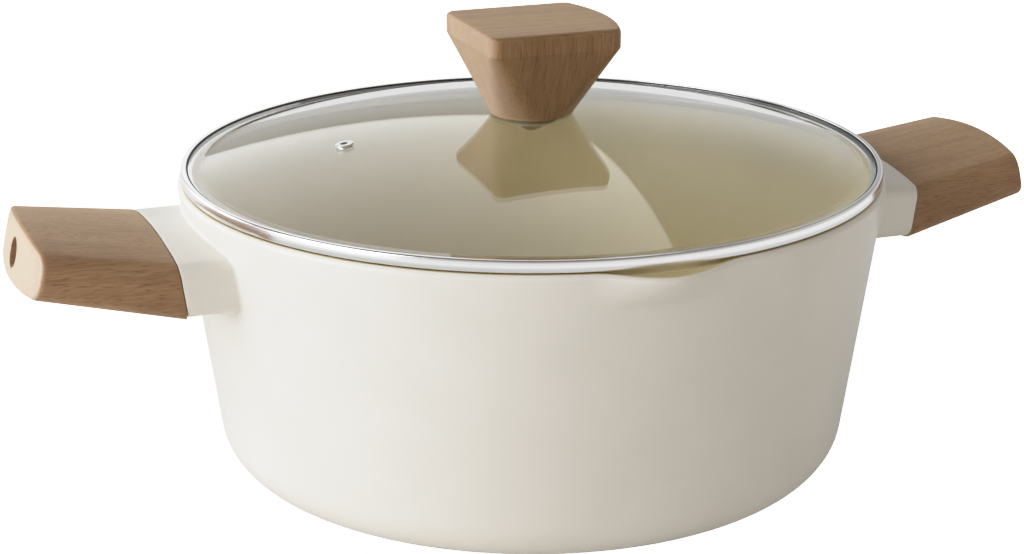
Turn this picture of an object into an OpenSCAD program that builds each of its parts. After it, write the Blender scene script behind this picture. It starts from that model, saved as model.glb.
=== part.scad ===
// Two-handled casserole with a lift-off glass lid, real size in millimetres.
// +Z is up and z = 0 is the surface it stands on. The origin is the centre of the base.
// +X points along the right-hand grip, -Y is the side with the pouring lip.

/* [Pot] */
// height of the pot's lip
pot_h = 104; // [100:1:120]
// outer radius of the lip
pot_r = 123.4; // [118:0.1:128]
// lean of the wall from upright, in degrees
wall_lean = 8; // [6:0.5:9]
// thickness of the cast wall
wall_t = 3.6; // [3:0.1:4.5]
// thickness of the cast floor
floor_t = 5; // [4:0.5:7]
// radius of the rounded bottom corner, outside
pot_corner = 18.7; // [14:0.1:22]

/* [Pouring lip] */
// how far the pouring lip stands out past the round lip
spout_reach = 5.5; // [4:0.5:7]
// half the width of the pouring lip
spout_half_w = 22; // [20:1:24]
// how far down the wall the bulge under the lip fades out
spout_fade = 13; // [10:1:16]
// how far the pouring lip dips at its middle
spout_dip = 1.3; // [0.6:0.1:1.8]

/* [Handles] */
// distance from the wall to the joint between bracket and grip
bracket_l = 12.3; // [10:0.1:16]
// half the width of the bracket
bracket_half_w = 36.3; // [33:0.1:38]
// height of the bracket's axis above the base
handle_z = 85.3; // [84:0.1:86]
// upward tilt of the grip, in degrees
grip_tilt = 8.7; // [6:0.1:10]
// length of the grip along its axis
grip_l = 49; // [45:0.1:60]
// half the width of the grip at its outer end
grip_end_half_w = 33.2; // [31:0.1:34]
// bulge of the grip's rounded end
grip_end_bulge = 3.2; // [2:0.1:5]

/* [Lid] */
// outer radius of the steel rim
rim_r = 122; // [121.8:0.1:122.4]
// height of the steel band
rim_h = 4.1; // [4:0.1:5]
// height of the top of the glass dome above the lip
dome_rise = 20.3; // [16:0.1:24]
// distance of the steam vent from the lid's centre
vent_x = 68; // [55:1:80]

/* [Knob] */
// height of the wooden knob
knob_h = 32.5; // [28:0.1:36]
// height of the upright band round the top of the knob
knob_band_h = 6.8; // [5:0.1:9]
// half the width of the knob
knob_half_w = 25.2; // [23:0.1:27]
// radius of the knob's round foot
knob_foot_r = 14.6; // [13.5:0.1:17]

/* [Hidden] */
$fn = 180;
far = 300;             // longer than anything that is cut
slice = 0.1;           // thin slice that shapes one end of a hull
seen = 0.01;           // overlap that lets a cut run clean through
cut_spare = 1;         // length a long cut runs past the piece
close_fit = 0.05;      // gap round a pressed-in piece
open_z = pot_h + 25;   // height that clears the open top of the pot

// Pot: the wall is a leaning band that ends in a full round lip.
lip_r = wall_t / 2;
lip_z = pot_h - lip_r;
inner_corner = 14;
disc_r = 80;
disc_t = 1;
disc_hole_r = 2.5;
disc_ring_step = 22;   // spacing of the rings of holes, six more holes in each

// Pouring lip: a cone whose top circle passes through the lip at half width.
spout_front = pot_r + spout_reach;
spout_side_y = sqrt(pot_r * pot_r - spout_half_w * spout_half_w);
spout_c = (spout_front * spout_front - pot_r * pot_r) / (2 * (spout_front - spout_side_y));
spout_top_r = spout_front - spout_c;
spout_low_z = pot_h - spout_fade;
spout_low_r = wall_r(spout_low_z) - spout_c;
spout_tilt = atan(spout_dip / (spout_front - spout_side_y));

// Brackets and grips: a crowned bar with rounded corners.
// Tops and undersides are measured from the axis to the crown.
crown_r = 190;
bar_top = 11.1;
bar_corner = 4.5;
bracket_under = 13.3;
grip_root_under = 14.2; // the wood stands a little proud of the bracket's underside
grip_end_top = 10.4;
grip_end_under = 9.6;
grip_end_corner = 6.7;
grip_end_slant = 4.2;   // the end face leans in at the top, in degrees
grip_end_spare = 1;     // length the slanted end cut takes off
joint_x = wall_r(handle_z) + bracket_l;
tongue_l = 9;
tongue_w = 26;
tongue_h = 9;
fit_gap = 0.2;
grip_end_r = (grip_end_half_w * grip_end_half_w + grip_end_bulge * grip_end_bulge)
    / (2 * grip_end_bulge);

// Grip screws: M5 socket heads on washers, deep in the end hole.
m5_r = 2.5;
m5_clear_r = 2.75;
m5_tapped_r = 2.55;
end_hole_r = 5;
washer_x = 20;
grip_washer_t = 1;
grip_washer_r = 4.8;
socket_head_r = 4.25;
socket_head_h = 5;
grip_screw_l = 30;
screw_tip_x = washer_x + grip_washer_t - grip_screw_l;
tapped_spare = 2;      // depth of the tapped hole past the screw's tip
hex_r = 2.3;
hex_deep = 2.5;

// Lid: the band stands just above the lip, the skirt drops inside the pot.
rest_gap = 0.4;
steel_t = 0.4;
seal_t = 0.25;
glass_t = rim_h - 2 * steel_t - 2 * seal_t;
rim_z = pot_h + rest_gap;
rim_top = rim_z + rim_h;
rim_shoulder = 1;
rim_lip_w = 2.3;
skirt_in = 4.4;
skirt_r = rim_r - skirt_in;
skirt_h = 3;
seal_w = 3;
glass_r = rim_r - steel_t - seal_t;
glass_z = rim_z + steel_t + seal_t;
glass_flat_w = 6.3;
glass_bend_w = 0.4;
dome_edge_r = glass_r - glass_flat_w;
dome_top = pot_h + dome_rise;
dome_sag = dome_top - glass_z - glass_t;
dome_r = (dome_edge_r * dome_edge_r + dome_sag * dome_sag) / (2 * dome_sag);
dome_c = dome_top - dome_r;

// Steam vent: a steel eyelet square to the dome.
vent_slope = asin(vent_x / dome_r);
vent_hole_r = 2;
eyelet_r = 3.1;
eyelet_bore_r = 1.3;
eyelet_t = 0.5;
eyelet_gap = 0.02;     // clears the curve of the glass under the flange

// Knob and the parts that clamp it to the glass.
foot_gap = 0.05;       // the foot stands just clear of the top of the dome
knob_z = dome_top + foot_gap;
knob_seat_r = 12.6;
seat_recess = 0.6;     // depth of the recess in the foot that takes the seat
knob_flat_x = knob_half_w - 1.5;  // from the axis to the straight end
knob_round_x = knob_half_w + 2.8; // and to the crown of the bulging end
knob_end_bulge = 5.2;
knob_corner = 4;
knob_edge = 0.9;
knob_foot_edge = 0.8;
glass_hole_r = 5;
insert_r = 4;
insert_l = 13;
insert_end_t = 1;
gasket_r = 9;
gasket_t = 1.5;
sleeve_r = glass_hole_r - 0.1;
gasket_z = dome_top - glass_t - gasket_t;
knob_washer_r = 7.5;
knob_washer_t = 1;
knob_washer_z = gasket_z - knob_washer_t;
pan_head_r = 4.8;
pan_head_h = 3;
pan_crown_r = 5.4;
cross_l = 4.4;
cross_w = 1;
cross_deep = 1.4;
knob_screw_l = 17;

// outer radius of the leaning wall at a height
function wall_r(z) = pot_r - (pot_h - z) * tan(wall_lean);

// points on an arc, for outlines
function arc(cx, cy, r, from, to, steps) =
    [for (i = [0:steps])
        let (a = from + (to - from) * i / steps)
        [cx + r * cos(a), cy + r * sin(a)]];

// Outline of the handle bar across its length: crowned top and bottom, rounded corners.
function crown_lift(half_w, corner) =
    sqrt(pow(crown_r - corner, 2) - pow(half_w - corner, 2));
function bar_points(half_w, top, under, corner) =
    let (lift = crown_lift(half_w, corner))
    let (turn = atan2(lift, half_w - corner))
    let (x = half_w - corner)
    let (up = top - crown_r)
    let (down = crown_r - under)
    concat(
        arc(x, up + lift, corner, 0, turn, 8),
        arc(0, up, crown_r, turn, 180 - turn, 16),
        arc(-x, up + lift, corner, 180 - turn, 180, 8),
        arc(-x, down - lift, corner, 180, 180 + turn, 8),
        arc(0, down, crown_r, 180 + turn, 360 - turn, 16),
        arc(x, down - lift, corner, 360 - turn, 360, 8));

// Outline of the knob from above: three straight sides and a bulging one at +X.
function knob_points(inset) =
    let (half_w = knob_half_w - inset)
    let (corner = knob_corner - inset)
    let (side = half_w - corner)
    let (flat_x = inset + corner - knob_flat_x)
    let (end_r = (knob_half_w * knob_half_w + knob_end_bulge * knob_end_bulge)
        / (2 * knob_end_bulge) - inset)
    let (end_c = knob_round_x - inset - end_r)
    let (reach = sqrt(pow(end_r - corner, 2) - side * side))
    let (turn = atan2(side, reach))
    concat(
        arc(end_c, 0, end_r, -turn, turn, 12),
        arc(end_c + reach, side, corner, turn, 90, 8),
        arc(flat_x, side, corner, 90, 180, 8),
        arc(flat_x, -side, corner, 180, 270, 8),
        arc(end_c + reach, -side, corner, 270, 360 - turn, 8));

// ---------- pot ----------

// Half section of a cup: flat floor, round corner, leaning wall up to z_top at the axis side.
module cup_section(z, r, corner, wall_top_z, axis_top_z) {
    flat_r = r - corner * tan((90 - wall_lean) / 2);
    union() {
        polygon([
            [0, z],
            [flat_r, z],
            [flat_r, z + corner],
            [flat_r + corner * cos(wall_lean), z + corner * (1 - sin(wall_lean))],
            [r + (wall_top_z - z) * tan(wall_lean), wall_top_z],
            [0, axis_top_z]]);
        translate([flat_r, z + corner])
            circle(r = corner);
    }
}

module pot_outside() {
    cut_z = lip_z - lip_r * sin(wall_lean);
    axis_z = lip_z + (wall_r(lip_z) - lip_r / cos(wall_lean)) * tan(wall_lean);
    rotate_extrude()
        cup_section(0, wall_r(0), pot_corner, cut_z, axis_z);
}

module pot_inside() {
    rotate_extrude()
        cup_section(floor_t, wall_r(floor_t) - wall_t / cos(wall_lean), inner_corner,
            open_z, open_z);
}

// The round lip: a torus that touches both faces of the wall.
module round_lip() {
    rotate_extrude()
        translate([wall_r(lip_z) - lip_r / cos(wall_lean), lip_z])
            circle(r = lip_r, $fn = 48);
}

// Cone that makes the pouring lip, or the hollow inside it when it is inset by the wall.
module spout_cone(inset, top_z) {
    low_r = spout_low_r - inset;
    top_r = spout_top_r - inset;
    grow = (top_r - low_r) / (pot_h - spout_low_z);
    translate([0, -spout_c, spout_low_z])
        cylinder(r1 = low_r, r2 = low_r + grow * (top_z - spout_low_z), h = top_z - spout_low_z);
}

// Puts what is drawn level with the lip onto the dipping plane of the pouring lip.
module on_spout_plane() {
    translate([0, -spout_side_y, lip_z])
        rotate([spout_tilt, 0, 0])
            translate([0, spout_side_y, 0])
                children();
}

module below_spout_plane() {
    on_spout_plane()
        translate([-far / 2, -far / 2, -far])
            cube([far, far, far]);
}

module spout_wall() {
    intersection() {
        spout_cone(0, pot_h);
        below_spout_plane();
    }
}

module spout_lip() {
    intersection() {
        on_spout_plane()
            translate([0, -spout_c, 0])
                rotate_extrude()
                    translate([spout_top_r - lip_r, 0])
                        circle(r = lip_r, $fn = 48);
        translate([-spout_half_w, -far, 0])
            cube([2 * spout_half_w, far - spout_side_y + wall_t, pot_h]);
    }
}

// ---------- handles ----------

// The handle's bar, drawn along +X and level.
module bar_prism(under) {
    translate([0, 0, handle_z])
        rotate([90, 0, 90])
            linear_extrude(height = joint_x + bar_corner)
                polygon(bar_points(bracket_half_w, bar_top, under, bar_corner));
}

// Everything on the pot's side of a plane parallel to the wall, a distance out from it.
module inside_of_plane(distance) {
    translate([wall_r(0) + distance, 0, 0])
        rotate([0, wall_lean, 0])
            translate([-far, -far / 2, -far / 2])
                cube([far, far, far]);
}

module bracket() {
    intersection() {
        bar_prism(bracket_under);
        inside_of_plane(bracket_l);
    }
}

// Local frame of the grip: +X along its tilted axis, zero at the joint.
module grip_frame() {
    translate([joint_x, 0, handle_z])
        rotate([0, -grip_tilt, 0])
            children();
}

module grip_rod(x, r, length) {
    grip_frame()
        translate([x, 0, 0])
            rotate([0, 90, 0])
                cylinder(r = r, h = length, $fn = 48);
}

// The tongue that keys the grip against turning.
module tongue(gap) {
    grip_frame()
        translate([-tongue_l, -tongue_w / 2 - gap, -tongue_h / 2 - gap])
            cube([2 * tongue_l + gap, tongue_w + 2 * gap, tongue_h + 2 * gap]);
}

module both_sides() {
    children();
    rotate([0, 0, 180])
        children();
}

module pot_body() color("#efe9dc") {
    difference() {
        union() {
            pot_outside();
            spout_wall();
            both_sides() {
                bracket();
                tongue(0);
            }
        }
        pot_inside();
        spout_cone(wall_t, open_z);
        both_sides()
            grip_rod(screw_tip_x - tapped_spare, m5_tapped_r, grip_screw_l);
        translate([0, 0, -seen])
            cylinder(r = disc_r + close_fit, h = disc_t + seen);
    }
    difference() {
        round_lip();
        spout_cone(wall_t, open_z);
    }
    difference() {
        spout_lip();
        pot_inside();
    }
}

module induction_disc() color("#b9bcc0") {
    difference() {
        cylinder(r = disc_r, h = disc_t);
        for (ring = [1:3])
            for (i = [0:6 * ring - 1])
                rotate([0, 0, i * 60 / ring])
                    translate([ring * disc_ring_step, 0, -seen])
                        cylinder(r = disc_hole_r, h = disc_t + 2 * seen, $fn = 24);
    }
}

module grip_blank() {
    hull() {
        intersection() {
            bar_prism(grip_root_under);
            difference() {
                inside_of_plane(bracket_l + slice);
                inside_of_plane(bracket_l);
            }
        }
        grip_frame()
            translate([grip_l + grip_end_spare, 0, 0])
                rotate([90, 0, 90])
                    linear_extrude(height = slice)
                        polygon(bar_points(grip_end_half_w, grip_end_top, grip_end_under,
                            grip_end_corner));
    }
}

module grip() {
    difference() {
        intersection() {
            grip_blank();
            grip_frame()
                translate([grip_l, 0, 0])
                    rotate([0, -grip_end_slant, 0])
                        translate([-grip_end_r, 0, -far / 2])
                            cylinder(r = grip_end_r, h = far);
        }
        tongue(fit_gap);
        grip_rod(0, m5_clear_r, grip_l);
        grip_rod(washer_x, end_hole_r, grip_l);
    }
}

module grip_right() color("#a07a55")
    grip();

module grip_left() color("#a07a55")
    rotate([0, 0, 180])
        grip();

module grip_washers() color("#c4c6c8")
    both_sides()
        difference() {
            grip_rod(washer_x, grip_washer_r, grip_washer_t);
            grip_rod(washer_x - cut_spare, m5_clear_r, grip_washer_t + 2 * cut_spare);
        }

module grip_screws() color("#c4c6c8")
    both_sides()
        difference() {
            union() {
                grip_rod(screw_tip_x, m5_r, grip_screw_l + seen);
                grip_rod(washer_x + grip_washer_t, socket_head_r, socket_head_h);
            }
            grip_frame()
                translate([washer_x + grip_washer_t + socket_head_h - hex_deep, 0, 0])
                    rotate([0, 90, 0])
                        cylinder(r = hex_r, h = hex_deep + cut_spare, $fn = 6);
        }

// ---------- lid ----------

module dome_region(r) {
    translate([0, dome_c])
        circle(r = r, $fn = 720);
}

// points along a sphere that shares the dome's centre, from one radius off the axis to another
function dome_points(r, from, to) =
    arc(0, dome_c, r, acos(from / r), acos(to / r), 6);

// Square to the dome at the steam vent, zero on its top face.
module vent_frame() {
    translate([0, 0, dome_c])
        rotate([0, -vent_slope, 0])
            translate([0, 0, dome_r])
                children();
}

module lid_glass() color("#c9d2cf", 0.35) {
    difference() {
        rotate_extrude()
            union() {
                intersection() {
                    difference() {
                        dome_region(dome_r);
                        dome_region(dome_r - glass_t);
                    }
                    translate([0, glass_z])
                        square([dome_edge_r, dome_top]);
                }
                translate([dome_edge_r - glass_bend_w, glass_z])
                    square([glass_flat_w + glass_bend_w, glass_t]);
            }
        translate([0, 0, pot_h])
            cylinder(r = glass_hole_r, h = dome_rise * 2, $fn = 48);
        vent_frame()
            translate([0, 0, -2 * glass_t])
                cylinder(r = vent_hole_r, h = 4 * glass_t, $fn = 48);
    }
}

// Rolled steel: a band with a rounded shoulder, a lip over the glass and a skirt inside the pot.
module rim_section() {
    shoulder_x = rim_r - rim_shoulder;
    shoulder_z = rim_top - rim_shoulder;
    union() {
        intersection() {
            translate([shoulder_x, shoulder_z])
                difference() {
                    circle(r = rim_shoulder, $fn = 48);
                    circle(r = rim_shoulder - steel_t, $fn = 48);
                }
            translate([shoulder_x, shoulder_z])
                square(rim_shoulder + 1);
        }
        translate([rim_r - rim_lip_w, rim_top - steel_t])
            square([rim_lip_w - rim_shoulder, steel_t]);
        translate([rim_r - rim_lip_w, rim_top - steel_t / 2])
            circle(r = steel_t / 2, $fn = 24);
        translate([rim_r - steel_t, rim_z])
            square([steel_t, rim_h - rim_shoulder]);
        translate([skirt_r, rim_z])
            square([rim_r - skirt_r, steel_t]);
        translate([skirt_r, rim_z - skirt_h])
            square([steel_t, skirt_h + steel_t]);
    }
}

module lid_rim() color("#d3d5d7")
    rotate_extrude()
        rim_section();

// Dark channel between the glass edge and the steel.
module lid_seal() color("#2b2a28")
    rotate_extrude()
        difference() {
            translate([rim_r - seal_w, rim_z + steel_t])
                square([seal_w - steel_t, glass_t + 2 * seal_t]);
            translate([0, glass_z])
                square([glass_r, glass_t]);
            // clears the inside of the steel's rounded shoulder
            translate([rim_r - rim_shoulder, rim_top - rim_shoulder])
                difference() {
                    square(rim_shoulder);
                    circle(r = rim_shoulder - steel_t, $fn = 48);
                }
        }

module vent_eyelet() color("#d3d5d7")
    vent_frame()
        difference() {
            union() {
                cylinder(r = eyelet_r, h = eyelet_t, $fn = 48);
                translate([0, 0, -glass_t - eyelet_gap - eyelet_t])
                    cylinder(r = eyelet_r, h = eyelet_t, $fn = 48);
                translate([0, 0, -glass_t - eyelet_gap - seen])
                    cylinder(r = vent_hole_r - close_fit, h = glass_t + eyelet_t, $fn = 48);
            }
            translate([0, 0, -2 * glass_t])
                cylinder(r = eyelet_bore_r, h = 4 * glass_t, $fn = 48);
        }

// ---------- knob ----------

module knob_slab(z, height, inset) {
    translate([0, 0, knob_z + z])
        linear_extrude(height = height)
            polygon(knob_points(inset));
}

module knob() color("#a07a55")
    difference() {
        union() {
            // upright band with an eased top edge
            hull() {
                knob_slab(knob_h - knob_band_h, knob_band_h - knob_edge, 0);
                knob_slab(knob_h - slice, slice, knob_edge);
            }
            // taper down to the round foot
            hull() {
                knob_slab(knob_h - knob_band_h, slice, 0);
                translate([0, 0, knob_z + knob_foot_edge])
                    cylinder(r = knob_foot_r, h = slice, $fn = 96);
                translate([0, 0, knob_z])
                    cylinder(r = knob_foot_r - knob_foot_edge, h = slice, $fn = 96);
            }
        }
        translate([0, 0, knob_z - cut_spare])
            cylinder(r = insert_r + close_fit, h = insert_l + 2 * cut_spare, $fn = 48);
        translate([0, 0, knob_z - cut_spare])
            cylinder(r = knob_seat_r + close_fit, h = seat_recess + cut_spare);
    }

module knob_insert() color("#c8a550")
    translate([0, 0, knob_z + seat_recess])
        difference() {
            cylinder(r = insert_r, h = insert_l, $fn = 48);
            translate([0, 0, -seen])
                cylinder(r = m5_tapped_r, h = insert_l - insert_end_t, $fn = 48);
        }

module knob_seat() color("#2b2a28")
    rotate_extrude()
        polygon(concat(
            dome_points(dome_r + seen, m5_clear_r, knob_seat_r),
            [[knob_seat_r, knob_z + seat_recess], [m5_clear_r, knob_z + seat_recess]]));

module knob_gasket() color("#cdc8ba")
    rotate_extrude()
        // the flange follows the glass and a sleeve keeps the screw off it
        polygon(concat(
            [[m5_clear_r, gasket_z], [gasket_r, gasket_z]],
            dome_points(dome_r - glass_t - seen, gasket_r, sleeve_r),
            [[sleeve_r, dome_top - 2 * seen], [m5_clear_r, dome_top - 2 * seen]]));

module knob_washer() color("#c4c6c8")
    translate([0, 0, knob_washer_z])
        difference() {
            cylinder(r = knob_washer_r, h = knob_washer_t, $fn = 96);
            translate([0, 0, -seen])
                cylinder(r = m5_clear_r, h = knob_washer_t + 2 * seen, $fn = 48);
        }

// Pan head with a cross slot, driven up into the insert.
module knob_screw() color("#c4c6c8")
    difference() {
        union() {
            translate([0, 0, knob_washer_z - seen])
                cylinder(r = m5_r, h = knob_screw_l, $fn = 48);
            rotate_extrude()
                intersection() {
                    translate([0, knob_washer_z - pan_head_h])
                        square([pan_head_r, pan_head_h]);
                    translate([0, knob_washer_z + pan_crown_r - pan_head_h])
                        circle(r = pan_crown_r, $fn = 96);
                }
        }
        for (turn = [0, 90])
            rotate([0, 0, turn])
                translate([-cross_l / 2, -cross_w / 2, knob_washer_z - pan_head_h - cut_spare])
                    cube([cross_l, cross_w, cross_deep + cut_spare]);
    }

pot_body();
induction_disc();
grip_right();
grip_left();
grip_washers();
grip_screws();
lid_glass();
lid_rim();
lid_seal();
vent_eyelet();
knob();
knob_insert();
knob_seat();
knob_gasket();
knob_washer();
knob_screw();
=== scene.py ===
"""Looks of the two-handled casserole with a glass lid. Lengths are metres in the part's own frame."""

import math

import bmesh
import bpy
import numpy as np
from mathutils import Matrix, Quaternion, Vector

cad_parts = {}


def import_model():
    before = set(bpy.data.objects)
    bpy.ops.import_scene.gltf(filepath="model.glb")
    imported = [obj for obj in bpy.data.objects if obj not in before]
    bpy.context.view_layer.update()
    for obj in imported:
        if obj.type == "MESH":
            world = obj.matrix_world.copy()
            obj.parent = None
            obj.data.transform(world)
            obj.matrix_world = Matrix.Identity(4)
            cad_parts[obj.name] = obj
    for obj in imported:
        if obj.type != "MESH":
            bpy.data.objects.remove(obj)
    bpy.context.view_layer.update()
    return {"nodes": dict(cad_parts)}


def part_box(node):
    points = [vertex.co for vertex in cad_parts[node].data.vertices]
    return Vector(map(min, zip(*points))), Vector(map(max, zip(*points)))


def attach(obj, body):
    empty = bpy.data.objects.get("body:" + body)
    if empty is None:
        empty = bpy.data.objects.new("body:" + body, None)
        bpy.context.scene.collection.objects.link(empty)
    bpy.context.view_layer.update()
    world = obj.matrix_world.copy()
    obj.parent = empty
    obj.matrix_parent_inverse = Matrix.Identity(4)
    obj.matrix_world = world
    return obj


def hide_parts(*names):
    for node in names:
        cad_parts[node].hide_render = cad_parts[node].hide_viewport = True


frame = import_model()
NODES = frame["nodes"]
MM = 0.001

# ---------- sizes ----------

POT_LOW, POT_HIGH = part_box("pot_body")
GLASS_LOW, GLASS_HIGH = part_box("lid_glass")
RIM_LOW, RIM_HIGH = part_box("lid_rim")
KNOB_LOW, KNOB_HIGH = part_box("knob")
_, DISC_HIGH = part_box("induction_disc")
EYELET_LOW, EYELET_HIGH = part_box("vent_eyelet")
_, SEAT_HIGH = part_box("knob_seat")
_, INSERT_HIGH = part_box("knob_insert")

# pot
POT_H = POT_HIGH.z
LEAN = math.radians(8)
WALL_T = 3.6 * MM
LIP_R = WALL_T / 2
LIP_Z = POT_H - LIP_R
WALL_TOP_R = POT_HIGH.y + LIP_R * (1 / math.cos(LEAN) - 1 + math.tan(LEAN))
FLOOR_T = 5 * MM
CORNER_R = 18.7 * MM
INNER_CORNER_R = 14 * MM
DISC_R = DISC_HIGH.y
DISC_T = DISC_HIGH.z
RECESS_EDGE = 0.3 * MM
FLOOR_MIDDLE_R = 4 * MM

# pouring lip
SPOUT_REACH = -POT_LOW.y - POT_HIGH.y
SPOUT_DIP = 1.3 * MM
SPOUT_DEPTH = 11.8 * MM
SPOUT_HALF_ANGLE = math.radians(12.5)
FINE_DEPTH = 1.3 * SPOUT_DEPTH

# brackets and grips
BRACKET_L = 12.3 * MM
BAR_Z = 85.3 * MM
BAR_HALF_W = 36.3 * MM
BAR_TOP = 11.1 * MM
BAR_CORNER = 4.5 * MM
BRACKET_UNDER = 13.3 * MM
CROWN_R = 190 * MM
ROOT_FILLET = 0.9 * MM
ROOT_SUNK = 0.1 * MM
GRIP_UNDER = 14.2 * MM
GRIP_TILT = math.radians(8.7)
GRIP_L = 49 * MM
GRIP_END = dict(half_w=33.2 * MM, top=10.4 * MM, under=9.6 * MM, corner=6.7 * MM)
GRIP_END_R = 173.8 * MM
GRIP_END_SLANT = math.radians(4.2)
GRIP_EDGE = 1.6 * MM
JOINT_EDGE = 0.3 * MM
JOINT_SLOT_W = 0.4 * MM
JOINT_SLOT_DEEP = 1.2 * MM
HOLE_R = 5 * MM
HOLE_DEEP = 20 * MM
HOLE_EDGE = 0.5 * MM

# lid
RIM_R = RIM_HIGH.y
RIM_TOP = RIM_HIGH.z
SKIRT_LOW_Z = RIM_LOW.z
RIM_LIP_W = 2.3 * MM
STEEL_T = 0.4 * MM
RIM_H = 4.1 * MM
SKIRT_IN = 4.4 * MM
SEAL_W = 2.6 * MM
GLASS_R = GLASS_HIGH.y
GLASS_T = 2.8 * MM
GLASS_FLAT_W = 6.3 * MM
GLASS_BEND_R = 4 * MM
GLASS_HOLE_R = 5 * MM
DOME_TOP = GLASS_HIGH.z
VENT_HOLE_R = 2 * MM

# knob
KNOB_Z = KNOB_LOW.z
KNOB_TOP = KNOB_HIGH.z
KNOB_HALF_W = KNOB_HIGH.y
KNOB_BAND_H = 6.8 * MM
KNOB_BULGE = 5.2 * MM
KNOB_CORNER = 4 * MM
KNOB_FOOT_R = 14.6 * MM
KNOB_EDGE = 1.6 * MM
KNOB_FOOT_EDGE = 0.8 * MM
PRESS_GAP = 0.05 * MM


# ---------- small mesh tools ----------

def arc(cx, cy, r, start, end, steps, last=True):
    """Points on an arc; angles in degrees."""
    count = steps + 1 if last else steps
    angles = [math.radians(start + (end - start) * i / steps) for i in range(count)]
    return [(cx + r * math.cos(a), cy + r * math.sin(a)) for a in angles]


def shares(steps):
    """Even shares of the way from 0 to 1, without the 0."""
    return [i / steps for i in range(1, steps + 1)]


def line(start, end, steps):
    """Points between two points, without the first."""
    return [tuple(start[k] + (end[k] - start[k]) * share for k in (0, 1)) for share in shares(steps)]


def loft_faces(rings, count, closed=False):
    """Quads between rings of count points that follow each other; closed joins the last ring to the first."""
    last = rings if closed else rings - 1
    faces = []
    for i in range(last):
        a, b = i * count, (i + 1) % rings * count
        for j in range(count):
            k = (j + 1) % count
            faces.append((a + j, a + k, b + k, b + j))
    return faces


def fan(ring_start, count, centre, turned=False):
    """Triangles from a ring to a centre point."""
    tris = [(ring_start + j, ring_start + (j + 1) % count, centre) for j in range(count)]
    return [t[::-1] for t in tris] if turned else tris


def build(name, verts, faces, materials, face_materials=None, sharp=40):
    """A smooth-shaded mesh object with its normals turned outward."""
    mesh = bpy.data.meshes.new(name)
    mesh.from_pydata([tuple(v) for v in verts], [], faces)
    for material in materials:
        mesh.materials.append(material)
    if face_materials is not None:
        mesh.polygons.foreach_set("material_index", face_materials)
    bm = bmesh.new()
    bm.from_mesh(mesh)
    bmesh.ops.recalc_face_normals(bm, faces=bm.faces)
    bm.to_mesh(mesh)
    bm.free()
    mesh.shade_smooth()
    mesh.set_sharp_from_angle(angle=math.radians(sharp))
    piece = bpy.data.objects.new(name, mesh)
    bpy.context.scene.collection.objects.link(piece)
    return piece


def revolve(profile, steps, closed=False, place=None):
    """Vertices and faces of a profile of (radius, height) turned round the Z axis."""
    verts = []
    for r, z in profile:
        for i in range(steps):
            a = 2 * math.pi * i / steps
            verts.append(place(r, z, a) if place else (r * math.cos(a), r * math.sin(a), z))
    return verts, loft_faces(len(profile), steps, closed)


def outward(points):
    """Unit normals of a closed counter-clockwise outline."""
    p = np.array(points)
    d = np.roll(p, -1, 0) - np.roll(p, 1, 0)
    n = np.stack([d[:, 1], -d[:, 0]], 1)
    return n / np.linalg.norm(n, axis=1, keepdims=True)


def half_turn(verts):
    """The same points on the other side of the pot."""
    return [(-x, -y, z) for x, y, z in verts]


def eased(steps, first=0):
    """Pairs of (along, in) that shape a unit edge over a quarter turn, from (1, 0) to (0, 1)."""
    turns = [math.pi / 2 * i / steps for i in range(first, steps + 1)]
    return [(1 - math.sin(a), 1 - math.cos(a)) for a in turns]



# ---------- material tools ----------

def srgb(r, g, b):
    """Linear colour for a colour given as 0-255 screen values."""
    channels = [v / 255 for v in (r, g, b)]
    return tuple(c / 12.92 if c <= 0.04045 else ((c + 0.055) / 1.055) ** 2.4 for c in channels) + (1,)


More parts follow.
